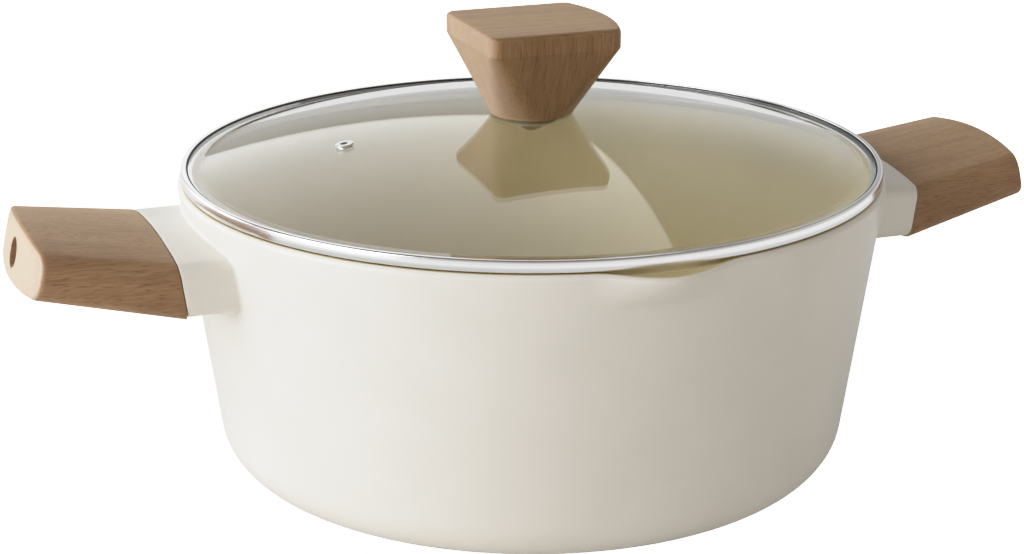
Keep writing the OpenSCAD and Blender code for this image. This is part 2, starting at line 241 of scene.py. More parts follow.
class Look:
    """A material under construction, with short ways to add and join its nodes."""

    def __init__(self, name):
        self.material = bpy.data.materials.new(name)
        self.material.use_nodes = True
        self.tree = self.material.node_tree
        self.shader = self.tree.nodes["Principled BSDF"]
        self.output = self.tree.nodes["Material Output"]

    def node(self, kind, **values):
        made = self.tree.nodes.new(kind)
        for key, value in values.items():
            setattr(made, key, value)
        return made

    def join(self, source, target):
        self.tree.links.new(source, target)

    def fill(self, socket, value):
        """Puts a plain value or another node's output into a socket."""
        if isinstance(value, (int, float, tuple)):
            socket.default_value = value
        else:
            self.join(value, socket)

    def millimetres(self):
        """The piece's own coordinates in millimetres."""
        return self.place((1 / MM,) * 3)

    def place(self, scale=(1, 1, 1), turn=(0, 0, 0), attribute=None):
        """The piece's own coordinates, or a stored attribute, turned and scaled."""
        if attribute:
            coords = self.node("ShaderNodeAttribute", attribute_name=attribute).outputs["Vector"]
        else:
            coords = self.node("ShaderNodeTexCoord").outputs["Object"]
        mapping = self.node("ShaderNodeMapping")
        mapping.inputs["Rotation"].default_value = turn
        mapping.inputs["Scale"].default_value = scale
        self.join(coords, mapping.inputs["Vector"])
        return mapping.outputs["Vector"]

    def noise(self, vector, scale=1.0, detail=3.0, rough=0.5, warp=0.0):
        made = self.node("ShaderNodeTexNoise")
        made.inputs["Scale"].default_value = scale
        made.inputs["Detail"].default_value = detail
        made.inputs["Roughness"].default_value = rough
        made.inputs["Distortion"].default_value = warp
        self.join(vector, made.inputs["Vector"])
        return made.outputs["Fac"]

    def span(self, value, low, high, to_low=0.0, to_high=1.0):
        made = self.node("ShaderNodeMapRange")
        numbers = {"From Min": low, "From Max": high, "To Min": to_low, "To Max": to_high}
        for key, number in numbers.items():
            made.inputs[key].default_value = number
        self.join(value, made.inputs["Value"])
        return made.outputs["Result"]

    def math(self, operation, a, b):
        made = self.node("ShaderNodeMath", operation=operation)
        self.fill(made.inputs[0], a)
        self.fill(made.inputs[1], b)
        return made.outputs["Value"]

    def mix(self, factor, a, b, blend="MIX"):
        made = self.node("ShaderNodeMix", data_type="RGBA", blend_type=blend)
        for name, value in (("Factor_Float", factor), ("A_Color", a), ("B_Color", b)):
            self.fill(next(s for s in made.inputs if s.identifier == name), value)
        return next(s for s in made.outputs if s.identifier == "Result_Color")

    def bump(self, height, depth, strength=1.0, below=None):
        made = self.node("ShaderNodeBump")
        made.inputs["Strength"].default_value = strength
        made.inputs["Distance"].default_value = depth
        self.join(height, made.inputs["Height"])
        if below is not None:
            self.join(below, made.inputs["Normal"])
        return made.outputs["Normal"]

    def set(self, **values):
        """Values or sockets for the Principled shader, with _ for a space in a socket's name."""
        for key, value in values.items():
            self.fill(self.shader.inputs[key.replace("_", " ")], value)


def coating(name, colour, deep, rough, gloss):
    """Matte ceramic coating: faint cloudiness, fine speckle and a shallow orange-peel surface."""
    look = Look(name)
    per_mm = look.millimetres()
    cloud = look.noise(per_mm, 0.03, 2)
    speckle = look.noise(per_mm, 1.6, 2, 0.6)
    base = look.mix(look.span(cloud, 0.35, 0.65), deep, colour)
    base = look.mix(look.span(speckle, 0.6, 0.75, 0, 0.10), base, tuple(0.72 * c for c in colour[:3]) + (1,))
    peel = look.noise(per_mm, 0.9, 2, 0.5)
    look.set(
        Base_Color=base,
        Roughness=look.span(cloud, 0.3, 0.7, rough - 0.04, rough + 0.04),
        Normal=look.bump(peel, 0.012 * MM),
    )
    look.shader.inputs["Coat Weight"].default_value = gloss
    look.shader.inputs["Coat Roughness"].default_value = 0.18
    return look.material


def wood(name, tint, stretch, end_grain_and_painted_light, turn=(0, 0, 0), attribute=None):
    """Sanded hardwood: broad figure, growth bands, fine fibres and short dark pores along the grain.

    The argument after stretch tells how much lighter the faces turned towards X are, and from which normals
    on. On the knob's side faces this is painted light. On the grips' ends it is paler end grain together with
    painted light.
    """
    look = Look(name)

    def at(per_mm):
        return look.place(tuple(per_mm / s / MM for s in stretch), turn, attribute)

    figure = look.noise(at(0.045), 1, 3, 0.5, 0.6)
    bands = look.noise(at(0.30), 1, 4, 0.6, 1.2)
    fibres = look.noise(at(2.0), 1, 4, 0.7, 0.3)
    pores = look.noise(at(3.2), 1, 1, 0.4)
    tone = look.mix(look.span(figure, 0.3, 0.7), WOOD_DEEP, WOOD_LIGHT)
    tone = look.mix(look.span(bands, 0.46, 0.72, 0, 0.55), tone, WOOD_BAND)
    tone = look.mix(look.span(fibres, 0.45, 0.75, 0, 0.45), tone, WOOD_PORE)
    pore = look.span(pores, 0.60, 0.70, 0, 0.5)
    tone = look.mix(pore, tone, WOOD_PORE)
    tone = look.mix(1.0, tone, tint, "MULTIPLY")
    parts = look.node("ShaderNodeSeparateXYZ")
    look.join(look.node("ShaderNodeTexCoord").outputs["Normal"], parts.inputs["Vector"])
    across = look.math("ABSOLUTE", parts.outputs["X"], 0.0)
    # painted light: faces turned towards X are mixed towards a pale tone, as if lit by the lamp; on the
    # grips' ends this is partly paler end grain
    tone = look.mix(look.span(across, end_grain_and_painted_light[1], end_grain_and_painted_light[2], 0, end_grain_and_painted_light[0]), tone, WOOD_END_GRAIN_AND_PAINTED_LIGHT)
    relief = look.math("SUBTRACT", fibres, pore)
    look.set(
        Base_Color=tone,
        Roughness=look.span(fibres, 0.3, 0.7, 0.5, 0.64),
        Normal=look.bump(relief, 0.05 * MM, 0.8),
    )
    look.shader.inputs["Specular IOR Level"].default_value = 0.3
    look.shader.inputs["Sheen Weight"].default_value = 0.33
    look.shader.inputs["Sheen Roughness"].default_value = 0.5
    look.shader.inputs["Sheen Tint"].default_value = (1, 0.82, 0.56, 1)
    return look.material


def metal(name, colour, rough, ring=True):
    """Steel or brass with fine turned or rolled lines round the Z axis."""
    look = Look(name)
    coords = look.millimetres()
    parts = look.node("ShaderNodeSeparateXYZ")
    look.join(coords, parts.inputs["Vector"])
    if ring:
        squares = [look.math("MULTIPLY", parts.outputs[k], parts.outputs[k]) for k in (0, 1)]
        across = look.math("SQRT", look.math("ADD", *squares), 0.0)
    else:
        across = parts.outputs[0]
    lines = look.node("ShaderNodeCombineXYZ")
    look.join(across, lines.inputs[0])
    look.join(parts.outputs[2], lines.inputs[2])
    brushed = look.noise(lines.outputs[0], 9, 2, 0.6)
    smudge = look.noise(coords, 0.05, 3, 0.6)
    look.set(
        Base_Color=look.mix(look.span(brushed, 0.3, 0.7), tuple(0.92 * c for c in colour[:3]) + (1,), colour),
        Roughness=look.math("ADD", look.span(brushed, 0.3, 0.7, rough * 0.8, rough * 1.2),
                            look.span(smudge, 0.4, 0.7, 0, 0.05)),
        Normal=look.bump(brushed, 0.004 * MM, 0.6),
    )
    look.shader.inputs["Metallic"].default_value = 1
    return look.material


def silicone(name, dark, light):
    """Moulded silicone with a fine matte grain."""
    look = Look(name)
    per_mm = look.millimetres()
    grain = look.noise(per_mm, 2.5, 3, 0.6)
    look.set(
        Base_Color=look.mix(grain, dark, light),
        Roughness=look.span(grain, 0.3, 0.7, 0.5, 0.65),
        Normal=look.bump(grain, 0.02 * MM),
    )
    return look.material


def clear_glass():
    """Tempered glass with a faint grey-green tint and waviness; lamps shine through it."""
    look = Look("glass")
    per_mm = look.millimetres()
    wave = look.noise(per_mm, 0.02, 1)
    look.set(Base_Color=look.mix(wave, GLASS_TINT, GLASS_CLEAR), Normal=look.bump(wave, 0.03 * MM, 0.5))
    look.shader.inputs["Transmission Weight"].default_value = 1
    look.shader.inputs["Roughness"].default_value = 0
    look.shader.inputs["IOR"].default_value = 1.5
    shade = look.node("ShaderNodeBsdfTransparent")
    shade.inputs["Color"].default_value = srgb(248, 248, 246)
    rays = look.node("ShaderNodeLightPath")
    choose = look.node("ShaderNodeMixShader")
    look.join(rays.outputs["Is Shadow Ray"], choose.inputs["Fac"])
    look.join(look.shader.outputs["BSDF"], choose.inputs[1])
    look.join(shade.outputs["BSDF"], choose.inputs[2])
    look.join(choose.outputs["Shader"], look.output.inputs["Surface"])
    return look.material


WOOD_LIGHT = srgb(168, 136, 106)
WOOD_DEEP = srgb(144, 112, 83)
WOOD_BAND = srgb(124, 92, 65)
WOOD_PORE = srgb(88, 61, 40)
# pale tone for faces turned towards X: painted light, and on the grips' ends also paler end grain
WOOD_END_GRAIN_AND_PAINTED_LIGHT = srgb(226, 210, 192)
GLASS_TINT = srgb(246, 249, 245)
GLASS_CLEAR = srgb(250, 252, 249)
CREAM = coating("cream_coating", srgb(238, 234, 225), srgb(234, 230, 220), 0.5, 0.45)
KHAKI = coating("khaki_coating", srgb(217, 202, 162), srgb(212, 197, 157), 0.42, 0.3)
# the last numbers set painted light on faces turned towards X: on the grips' end faces together with paler
# end grain, on the knob's left and right faces alone
GRIP_WOOD = wood("grip_wood", (1.08, 1.03, 0.95, 1), (30, 1, 1), (0.55, 0.60, 0.97))
KNOB_WOOD = wood("knob_wood", (0.98, 0.91, 0.74, 1), (1, 1, 18), (0.22, 0.35, 0.80),
                 (0, math.radians(4), 0), "grain")
RIM_STEEL = metal("rim_steel", (0.98, 0.98, 0.98, 1), 0.16)
EYELET_STEEL = metal("eyelet_steel", (0.74, 0.74, 0.74, 1), 0.3)
STEEL = metal("steel", (0.62, 0.62, 0.63, 1), 0.32)
CROSS_STEEL = metal("cross_steel", (0.62, 0.62, 0.63, 1), 0.3, ring=False)
BRASS = metal("brass", (0.80, 0.60, 0.30, 1), 0.28)
SILICONE = silicone("black_silicone", srgb(24, 23, 22), srgb(40, 38, 36))
PALE_SILICONE = silicone("pale_silicone", srgb(140, 130, 98), srgb(158, 147, 113))
GLASS = clear_glass()


# ---------- pot ----------

def wall_radius(z):
    return WALL_TOP_R - (POT_H - z) * math.tan(LEAN)


def shell_profile():
    """Half section from the disc's recess round the lip to the floor, and where the inside coat starts."""
    lean = math.degrees(LEAN)
    inward = math.tan((math.pi / 2 - LEAN) / 2)
    flat_r = wall_radius(0) - CORNER_R * inward
    recess_r = DISC_R + PRESS_GAP
    lip_c = wall_radius(LIP_Z) - LIP_R / math.cos(LEAN)
    inner_flat_r = wall_radius(FLOOR_T) - WALL_T / math.cos(LEAN) - INNER_CORNER_R * inward
    outer_corner = arc(flat_r, CORNER_R, CORNER_R, -90, -lean, 18)
    lip = arc(lip_c, LIP_Z, LIP_R, -lean, 180 - lean, 16)
    coat_from = len(lip) // 2
    inner_corner = arc(inner_flat_r, FLOOR_T + INNER_CORNER_R, INNER_CORNER_R, -lean, -90, 16)
    below_spout = (wall_radius(POT_H - FINE_DEPTH), POT_H - FINE_DEPTH)
    inner_below = (below_spout[0] - WALL_T / math.cos(LEAN), below_spout[1])
    outside = [(recess_r, DISC_T), (recess_r, RECESS_EDGE), (recess_r + RECESS_EDGE, 0)]
    outside += outer_corner + line(outer_corner[-1], below_spout, 16) + line(below_spout, lip[0], 16)
    outside += lip[1:coat_from]
    inside = lip[coat_from:] + line(lip[-1], inner_below, 16) + line(inner_below, inner_corner[0], 16)
    inside += inner_corner[1:] + line(inner_corner[-1], (FLOOR_MIDDLE_R, FLOOR_T), 8)
    return outside + inside, len(outside)


def spout_place(r, z, a):
    """A point of the shell, pushed out and down where the pouring lip is."""
    off = abs(math.remainder(a + math.pi / 2, 2 * math.pi)) / SPOUT_HALF_ANGLE
    if off < 1 and r > INNER_CORNER_R:
        depth = min(1, (POT_H - z) / SPOUT_DEPTH)
        share = math.cos(math.pi / 2 * off) ** 2
        r += SPOUT_REACH * share * math.cos(math.pi / 2 * depth)
        z -= SPOUT_DIP * share * (1 - depth) ** 2
    return r * math.cos(a), r * math.sin(a), z


def bar_outline(half_w, top, under, corner, grow=0.0):
    """Outline (across, up) of the handle bar: crowned top and bottom, rounded corners."""
    half_w, top, under, corner = half_w + grow, top + grow, under + grow, corner + grow
    x = half_w - corner
    lift = math.sqrt((CROWN_R - corner) ** 2 - x * x)
    turn = math.degrees(math.atan2(lift, x))
    up, down = top - CROWN_R, CROWN_R - under
    points = arc(x, up + lift, corner, 0, turn, 8, False)
    points += arc(0, up, CROWN_R, turn, 180 - turn, 24, False)
    points += arc(-x, up + lift, corner, 180 - turn, 180, 8)
    points += arc(-x, down - lift, corner, 180, 180 + turn, 8, False)
    points += arc(0, down, CROWN_R, 180 + turn, 360 - turn, 24, False)
    points += arc(x, down - lift, corner, 360 - turn, 360, 8)
    return points


def bracket():
    """Cast bracket along +X: a fillet where it grows out of the wall, eased edges at the joint."""
    rings = []
    for grow, out in eased(8):
        sunk = ROOT_SUNK if out == 0 else 0
        ring = []
        for y, up in bar_outline(BAR_HALF_W, BAR_TOP, BRACKET_UNDER, BAR_CORNER, ROOT_FILLET * grow):
            z = BAR_Z + up
            ring.append((math.sqrt(wall_radius(z) ** 2 - y * y) + ROOT_FILLET * out - sunk, y, z))
        rings.append(ring)
    root = rings[-1]
    points = bar_outline(BAR_HALF_W, BAR_TOP, BRACKET_UNDER, BAR_CORNER)
    normals = outward(points)
    for share in shares(8):
        ring = []
        for (x0, y, z) in root:
            end = wall_radius(z) + BRACKET_L - JOINT_EDGE
            ring.append((x0 + (end - x0) * share, y, z))
        rings.append(ring)
    for back, inward in eased(3, 1):
        inset = JOINT_EDGE * inward
        ring = []
        for (y, up), n in zip(points, normals, strict=True):
            z = BAR_Z + up
            x = wall_radius(z) + BRACKET_L - JOINT_EDGE * back
            ring.append((x, y - n[0] * inset, z - n[1] * inset))
        rings.append(ring)
    count = len(points)
    verts = [v for ring in rings for v in ring]
    faces = loft_faces(len(rings), count)
    verts.append((wall_radius(BAR_Z) + BRACKET_L, 0, BAR_Z))
    faces += fan((len(rings) - 1) * count, count, len(verts) - 1)
    return verts, faces


def pot_casting():
    """The one cast piece: shell, pouring lip and both brackets, cream outside and khaki inside."""
    steps = 540
    profile, inside_from = shell_profile()
    verts, faces = revolve(profile, steps, place=spout_place)
    kinds = [0 if i // steps < inside_from - 1 else 1 for i in range(len(faces))]
    verts += [(0, 0, DISC_T), (0, 0, FLOOR_T)]
    faces += fan(0, steps, len(verts) - 2, True) + fan((len(profile) - 1) * steps, steps, len(verts) - 1)
    kinds += [0] * steps + [1] * steps
    for turn in (list, half_turn):
        more, more_faces = bracket()
        start = len(verts)
        verts += turn(more)
        faces += [tuple(start + k for k in f) for f in more_faces]
        kinds += [0] * len(more_faces)
    piece = build("pot_casting", verts, faces, [CREAM, KHAKI], kinds, 50)
    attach(piece, "pot")
    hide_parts("pot_body")


# ---------- grips ----------

def grip_end_x(y, z):
    """How far along the grip its slanted, bulging end face lies, in the grip's own frame."""
    back = math.sqrt(GRIP_END_R ** 2 - y * y) - GRIP_END_R
    slant = math.sin(GRIP_END_SLANT)
    return GRIP_L + back * math.cos(GRIP_END_SLANT) - math.tan(GRIP_END_SLANT) * (z - back * slant)


def grip_world(x, y, z):
    """From the grip's own frame, zero at the joint and +X along the grip, to the part's frame."""
    joint_x = wall_radius(BAR_Z) + BRACKET_L
    c, s = math.cos(GRIP_TILT), math.sin(GRIP_TILT)
    return joint_x + x * c - z * s, y, BAR_Z + x * s + z * c


def grip_local(x, y, z):
    """From the part's frame to the grip's own."""
    joint_x = wall_radius(BAR_Z) + BRACKET_L
    c, s = math.cos(GRIP_TILT), math.sin(GRIP_TILT)
    x, z = x - joint_x, z - BAR_Z
    return np.array([x * c + z * s, y, -x * s + z * c])


def grip_rays():
    """For each outline point: start at the joint, direction along the grip, outward normal and length."""
    rays = []
    root = bar_outline(BAR_HALF_W, BAR_TOP, GRIP_UNDER, BAR_CORNER)
    end = bar_outline(**GRIP_END)
    for (y, up), (end_y, end_up), n in zip(root, end, outward(root), strict=True):
        z = BAR_Z + up
        start = grip_local(wall_radius(z) + BRACKET_L, y, z)
        way = np.array([GRIP_L, end_y, end_up]) - start
        way /= np.linalg.norm(way)
        length = GRIP_L
        for _ in range(6):
            at = start + way * length
            length += (grip_end_x(at[1], at[2]) - at[0]) / way[0]
        rays.append((start, way, np.array([0, n[0], n[1]]), length))
    return rays


def grip_verts():
    """Rings from the joint round the end face and down the screw hole, in the grip's own frame."""
    rays = grip_rays()
    # a narrow slot all round the joint, as wood against casting shows
    rings = [[s + w * x - n * JOINT_SLOT_DEEP for s, w, n, _ in rays] for x in (0, JOINT_SLOT_W)]
    for sunk, along in eased(3):
        x = JOINT_SLOT_W + JOINT_EDGE * along
        rings.append([s + w * x - n * JOINT_EDGE * sunk for s, w, n, _ in rays])
    body_from = JOINT_SLOT_W + JOINT_EDGE
    for share in shares(24):
        rings.append([s + w * (body_from + (length - GRIP_EDGE - body_from) * share)
                      for s, w, _, length in rays])
    for back, inward in eased(6, 1):
        rings.append([s + w * (length - GRIP_EDGE * back) - n * GRIP_EDGE * inward
                      for s, w, n, length in rays])
    edge = rings[-1]
    mouth = HOLE_R + HOLE_EDGE
    for share in shares(12):
        ring = []
        for p in edge:
            a = math.atan2(p[2], p[1])
            y = p[1] + (mouth * math.cos(a) - p[1]) * share
            z = p[2] + (mouth * math.sin(a) - p[2]) * share
            ring.append(np.array([grip_end_x(y, z), y, z]))
        rings.append(ring)
    hole_edge = rings[-1]
    for sunk, r in ((0.3 * HOLE_EDGE, HOLE_R + 0.3 * HOLE_EDGE), (HOLE_EDGE, HOLE_R)):
        rings.append([np.array([p[0] - sunk, p[1] * r / mouth, p[2] * r / mouth]) for p in hole_edge])
    hole_top = rings[-1]
    for share in shares(6):
        rings.append([np.array([p[0] + (HOLE_DEEP - p[0]) * share, p[1], p[2]]) for p in hole_top])
    return rings


def grip(side, turn):
    """One wooden grip in place of the CAD node named side."""
    rings = grip_verts()
    count = len(rings[0])
    verts = [grip_world(*p) for ring in rings for p in ring]
    faces = loft_faces(len(rings), count)
    verts += [grip_world(0, 0, 0), grip_world(HOLE_DEEP, 0, 0)]
    faces += fan(0, count, len(verts) - 2, True) + fan((len(rings) - 1) * count, count, len(verts) - 1)
    piece = build("wood_" + side, turn(verts), faces, [GRIP_WOOD])
    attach(piece, "pot")
    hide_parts(side)


# ---------- lid ----------

DOME_EDGE_R = GLASS_R - GLASS_FLAT_W
GLASS_LOW_Z = GLASS_LOW.z
DOME_SAG = DOME_TOP - GLASS_LOW_Z - GLASS_T
DOME_R = (DOME_EDGE_R ** 2 + DOME_SAG ** 2) / (2 * DOME_SAG)
DOME_C = DOME_TOP - DOME_R


def dome_line(radius, flat_z, bend):
    """From the centre hole down the dome and round the bend to the flat edge."""
    centre_z = flat_z + bend
    centre_x = math.sqrt((radius + bend) ** 2 - (centre_z - DOME_C) ** 2)
    meet = math.degrees(math.atan2(centre_z - DOME_C, centre_x))
    start = math.degrees(math.acos(GLASS_HOLE_R / radius))
    return arc(0, DOME_C, radius, start, meet, 70, False) + arc(centre_x, centre_z, bend, meet - 180, -90, 6)


def glass_profile():
    top = dome_line(DOME_R, GLASS_LOW_Z + GLASS_T, GLASS_BEND_R)
    under = dome_line(DOME_R - GLASS_T, GLASS_LOW_Z, GLASS_BEND_R + GLASS_T)
    half = GLASS_T / 2
    edge = arc(GLASS_R - half, GLASS_LOW_Z + half, half, 90, -90, 12)
    return top + line(top[-1], edge[0], 4) + edge[1:] + line(edge[-1], under[-1], 4) + under[-2::-1]


def vent_axis():
    """Centre of the vent on the dome and the dome's normal there."""
    x = (EYELET_LOW.x + EYELET_HIGH.x) / 2
    slope = math.asin(x / (DOME_R - GLASS_T / 2))
    return Vector((0, 0, DOME_C)), Vector((math.sin(slope), 0, math.cos(slope)))


def cut_vent(bm):
    """Opens the vent hole through both faces of the dome."""
    centre, normal = vent_axis()
    side = Vector((0, 1, 0))
    ahead = side.cross(normal)

    def from_axis(p):
        return ((p - centre) - normal * (p - centre).dot(normal)).length

    near = [f for f in bm.faces if f.calc_center_median().x < 0
            and any(from_axis(v.co) < VENT_HOLE_R + 0.8 * MM for v in f.verts)]
    bmesh.ops.delete(bm, geom=near, context="FACES")
    edges = [e for e in bm.edges if e.is_boundary]
    middle = DOME_R - GLASS_T / 2
    steps = 64
    rings = []
    for radius, outer in ((DOME_R, True), (DOME_R - GLASS_T, False)):
        height = math.sqrt(radius ** 2 - VENT_HOLE_R ** 2)
        ring = []
        for i in range(steps):
            a = 2 * math.pi * i / steps
            offset = (ahead * math.cos(a) + side * math.sin(a)) * VENT_HOLE_R
            ring.append(bm.verts.new(centre + normal * height + offset))
        ring_edges = [bm.edges.new((ring[i], ring[(i + 1) % steps])) for i in range(steps)]
        loop = [e for e in edges if ((e.verts[0].co - centre).length > middle) == outer]
        bmesh.ops.bridge_loops(bm, edges=loop + ring_edges)
        rings.append(ring)
    for i in range(steps):
        j = (i + 1) % steps
        bm.faces.new((rings[0][i], rings[0][j], rings[1][j], rings[1][i]))


def lid_glass():
    """Domed glass with a flat edge, a centre hole for the knob's screw and the vent hole."""
    verts, faces = revolve(glass_profile(), 360, closed=True)
    piece = build("glass_dome", verts, faces, [GLASS], sharp=50)
    bm = bmesh.new()
    bm.from_mesh(piece.data)
    cut_vent(bm)
    bmesh.ops.recalc_face_normals(bm, faces=bm.faces)
    bm.to_mesh(piece.data)
    bm.free()
    piece.data.shade_smooth()
    piece.data.set_sharp_from_angle(angle=math.radians(50))
    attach(piece, "lid")
    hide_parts("lid_glass")


def ribbon(path, thickness):
    """Closed section of a strip of sheet that follows a path, with rounded ends."""
    p = np.array(path)
    d = np.gradient(p, axis=0)
    d /= np.linalg.norm(d, axis=1, keepdims=True)
    n = np.stack([-d[:, 1], d[:, 0]], 1) * thickness / 2
    near, far = p + n, p - n

    def cap(centre, way, start):
        turn = math.degrees(math.atan2(start[1] - centre[1], start[0] - centre[0]))
        return arc(centre[0], centre[1], thickness / 2, turn, turn + way * 180, 6)[1:-1]

    return ([tuple(q) for q in near] + cap(p[-1], -1, near[-1])
            + [tuple(q) for q in far[::-1]] + cap(p[0], -1, far[0]))


def lid_rim():
    """Rolled steel band: a lip over the glass, a crowned front and a skirt inside the pot."""
    half = STEEL_T / 2
    rim_z = RIM_TOP - RIM_H
    crown = 0.12 * MM
    shoulder = 0.8 * MM
    foot = 0.5 * MM
    outer = RIM_R - half - crown
    top_c = (outer - shoulder, RIM_TOP - half - shoulder)
    low_c = (outer - foot, rim_z + half + foot)
    path = line((RIM_R - RIM_LIP_W + half, RIM_TOP - half - 0.1 * MM), (top_c[0], RIM_TOP - half), 4)
    path += arc(*top_c, shoulder, 90, 0, 10)[1:]
    front = line((outer, top_c[1]), (outer, low_c[1]), 10)
    bulge = [crown * math.sin(math.pi * share) for share in shares(10)]
    path += [(r + out, z) for (r, z), out in zip(front, bulge, strict=True)]
    path += arc(*low_c, foot, 0, -90, 8)[1:]
    skirt_r = RIM_R - SKIRT_IN + half
    path += line(path[-1], (skirt_r + foot, rim_z + half), 4)
    path += arc(skirt_r + foot, rim_z + half - foot, foot, 90, 180, 8)[1:]
    path += line(path[-1], (skirt_r, SKIRT_LOW_Z + half), 6)
    verts, faces = revolve(ribbon(path, STEEL_T), 360, closed=True)
    piece = build("rim_band", verts, faces, [RIM_STEEL], sharp=60)
    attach(piece, "lid")
    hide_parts("lid_rim")


def lid_seal():
    """Dark channel folded round the glass edge, just inside the steel."""
    gap = 0.02 * MM
    rim_z = RIM_TOP - RIM_H
    low, high = rim_z + STEEL_T + gap, RIM_TOP - STEEL_T - 0.12 * MM
    outer, inner = RIM_R - STEEL_T - 0.3 * MM, RIM_R - SEAL_W
    glass_low, glass_high = GLASS_LOW_Z - gap, GLASS_LOW_Z + GLASS_T + gap
    edge_r = GLASS_R - 0.35 * MM
    shoulder = 0.6 * MM
    section = [(inner, low), (outer, low), (outer, high - shoulder), (outer - shoulder, high), (inner, high)]
    section += [(inner, glass_high), (edge_r, glass_high), (edge_r, glass_low), (inner, glass_low)]
    verts, faces = revolve(section, 360, closed=True)
    piece = build("seal_channel", verts, faces, [SILICONE], sharp=30)
    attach(piece, "lid")
    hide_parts("lid_seal")


# ---------- knob ----------

def knob_outline(inset):
    """Points and outward angles (degrees) round the knob: three straight sides and a bulging one at +X."""
    half_w, corner = KNOB_HALF_W - inset, KNOB_CORNER - inset
    side = half_w - corner
    end_r = (KNOB_HALF_W ** 2 + KNOB_BULGE ** 2) / (2 * KNOB_BULGE) - inset
    end_c = KNOB_HIGH.x - inset - end_r
    flat_x = KNOB_LOW.x + inset + corner
    reach = math.sqrt((end_r - corner) ** 2 - side ** 2)
    turn = math.degrees(math.atan2(side, reach))
    points, angles = [], []

    def add_arc(cx, cy, r, start, end, steps):
        points.extend(arc(cx, cy, r, start, end, steps, False))
        angles.extend(start + (end - start) * i / steps for i in range(steps))

    def add_side(start, end, angle, steps):
        points.extend([start] + line(start, end, steps)[:-1])
        angles.extend([angle] * steps)

    add_arc(end_c, 0, end_r, -turn, turn, 32)
    add_arc(end_c + reach, side, corner, turn, 90, 12)
    add_side((end_c + reach, half_w), (flat_x, half_w), 90, 24)
    add_arc(flat_x, side, corner, 90, 180, 12)
    add_side((flat_x - corner, side), (flat_x - corner, -side), 180, 24)
    add_arc(flat_x, -side, corner, 180, 270, 12)
    add_side((flat_x, -half_w), (end_c + reach, -half_w), 270, 24)
    add_arc(end_c + reach, -side, corner, 270, 360 - turn, 12)
    return points, angles


def store_knob_grain(mesh, rings, outline, angles, band_z):
    """Where each corner of the mesh lies in the wood: streaks upright on the sides, along X on top.

    Below the band a point takes its depth from the outline above it, which keeps the streaks upright
    on the taper.
    """
    upright = []
    for ring in rings:
        for v, (x, y), angle in zip(ring, outline, angles, strict=True):
            side = math.cos(math.radians(angle)) ** 2
            if v[2] > band_z:
                upright.append(v)
            else:
                upright.append((v[0] + (x - v[0]) * side, y + (v[1] - y) * side, v[2]))
    upright += [tuple(v.co) for v in mesh.vertices[len(upright):]]
    grain = []
    for face in mesh.polygons:
        for i in face.vertices:
            x, y, z = mesh.vertices[i].co
            grain.extend((y, z, x) if face.normal.z > 0.6 else upright[i])
    stored = mesh.attributes.new("grain", "FLOAT_VECTOR", "CORNER")
    stored.data.foreach_set("vector", grain)


def knob():
    """Square-topped knob that tapers to a round foot."""
    outline, angles = knob_outline(0)
    follow = 0.15
    foot = []
    for (x, y), angle in zip(outline, angles, strict=True):
        polar = math.degrees(math.atan2(y, x))
        a = math.radians(angle + follow * math.remainder(polar - angle, 360))
        foot.append((math.cos(a), math.sin(a)))

    def circle(r, z):
        return [(r * x, r * y, z) for x, y in foot]

    bore_r, bore_top = INSERT_HIGH.x + PRESS_GAP, INSERT_HIGH.z + 0.5 * MM
    seat_r = SEAT_HIGH.x + PRESS_GAP
    rings = [circle(bore_r, bore_top), circle(bore_r, SEAT_HIGH.z), circle(seat_r, SEAT_HIGH.z),
             circle(seat_r, KNOB_Z)]
    for inward, rise in eased(6):
        rings.append(circle(KNOB_FOOT_R - KNOB_FOOT_EDGE * inward, KNOB_Z + KNOB_FOOT_EDGE * rise))
    low, high = KNOB_Z + KNOB_FOOT_EDGE, KNOB_TOP - KNOB_BAND_H
    for share in shares(29)[:-1]:
        rings.append([(KNOB_FOOT_R * u + (x - KNOB_FOOT_R * u) * share,
                       KNOB_FOOT_R * v + (y - KNOB_FOOT_R * v) * share,
                       low + (high - low) * share) for (x, y), (u, v) in zip(outline, foot, strict=True)])
    for z in (high, high + 1.2 * MM, (high + KNOB_TOP) / 2, KNOB_TOP - KNOB_EDGE):
        rings.append([(x, y, z) for x, y in outline])
    for down, inward in eased(6, 1):
        inset, _ = knob_outline(KNOB_EDGE * inward)
        z = KNOB_TOP - KNOB_EDGE * down
        rings.append([(x, y, z) for x, y in inset])
    top = rings[-1]
    for share in (0.9, 0.6, 0.3):
        rings.append([(x * share, y * share, KNOB_TOP) for x, y, _ in top])
    count = len(outline)
    verts = [v for ring in rings for v in ring] + [(0, 0, bore_top), (0, 0, KNOB_TOP)]
    faces = loft_faces(len(rings), count) + fan(0, count, len(verts) - 2, True)
    faces += fan((len(rings) - 1) * count, count, len(verts) - 1)
    piece = build("wood_knob", verts, faces, [KNOB_WOOD], sharp=18)
    store_knob_grain(piece.data, rings, outline, angles, high)
    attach(piece, "lid")
    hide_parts("knob")


# ---------- carried-over CAD nodes ----------

CAD_LOOKS = {
    "induction_disc": STEEL,
    "grip_washers": CROSS_STEEL,
    "grip_screws": CROSS_STEEL,
    "vent_eyelet": EYELET_STEEL,
    "knob_insert": BRASS,
    "knob_seat": SILICONE,
    "knob_gasket": PALE_SILICONE,
    "knob_washer": STEEL,
    "knob_screw": STEEL,
}


def dress_cad_nodes():
    """Gives the CAD nodes that keep their own shape their materials."""
    for name, material in CAD_LOOKS.items():
        mesh = NODES[name].data
        mesh.materials.clear()
        mesh.materials.append(material)


# ---------- stage ----------

CAMERA_SPOT = Vector((-0.29064, -0.77016, 0.33216))
CAMERA_HEADING = math.radians(20.20)
CAMERA_PITCH = math.radians(18.06)
CAMERA_LENS = 85.58
FLOOR_GLOW = 2.6
MIRRORED_GLOW = (0.4, 0.95)


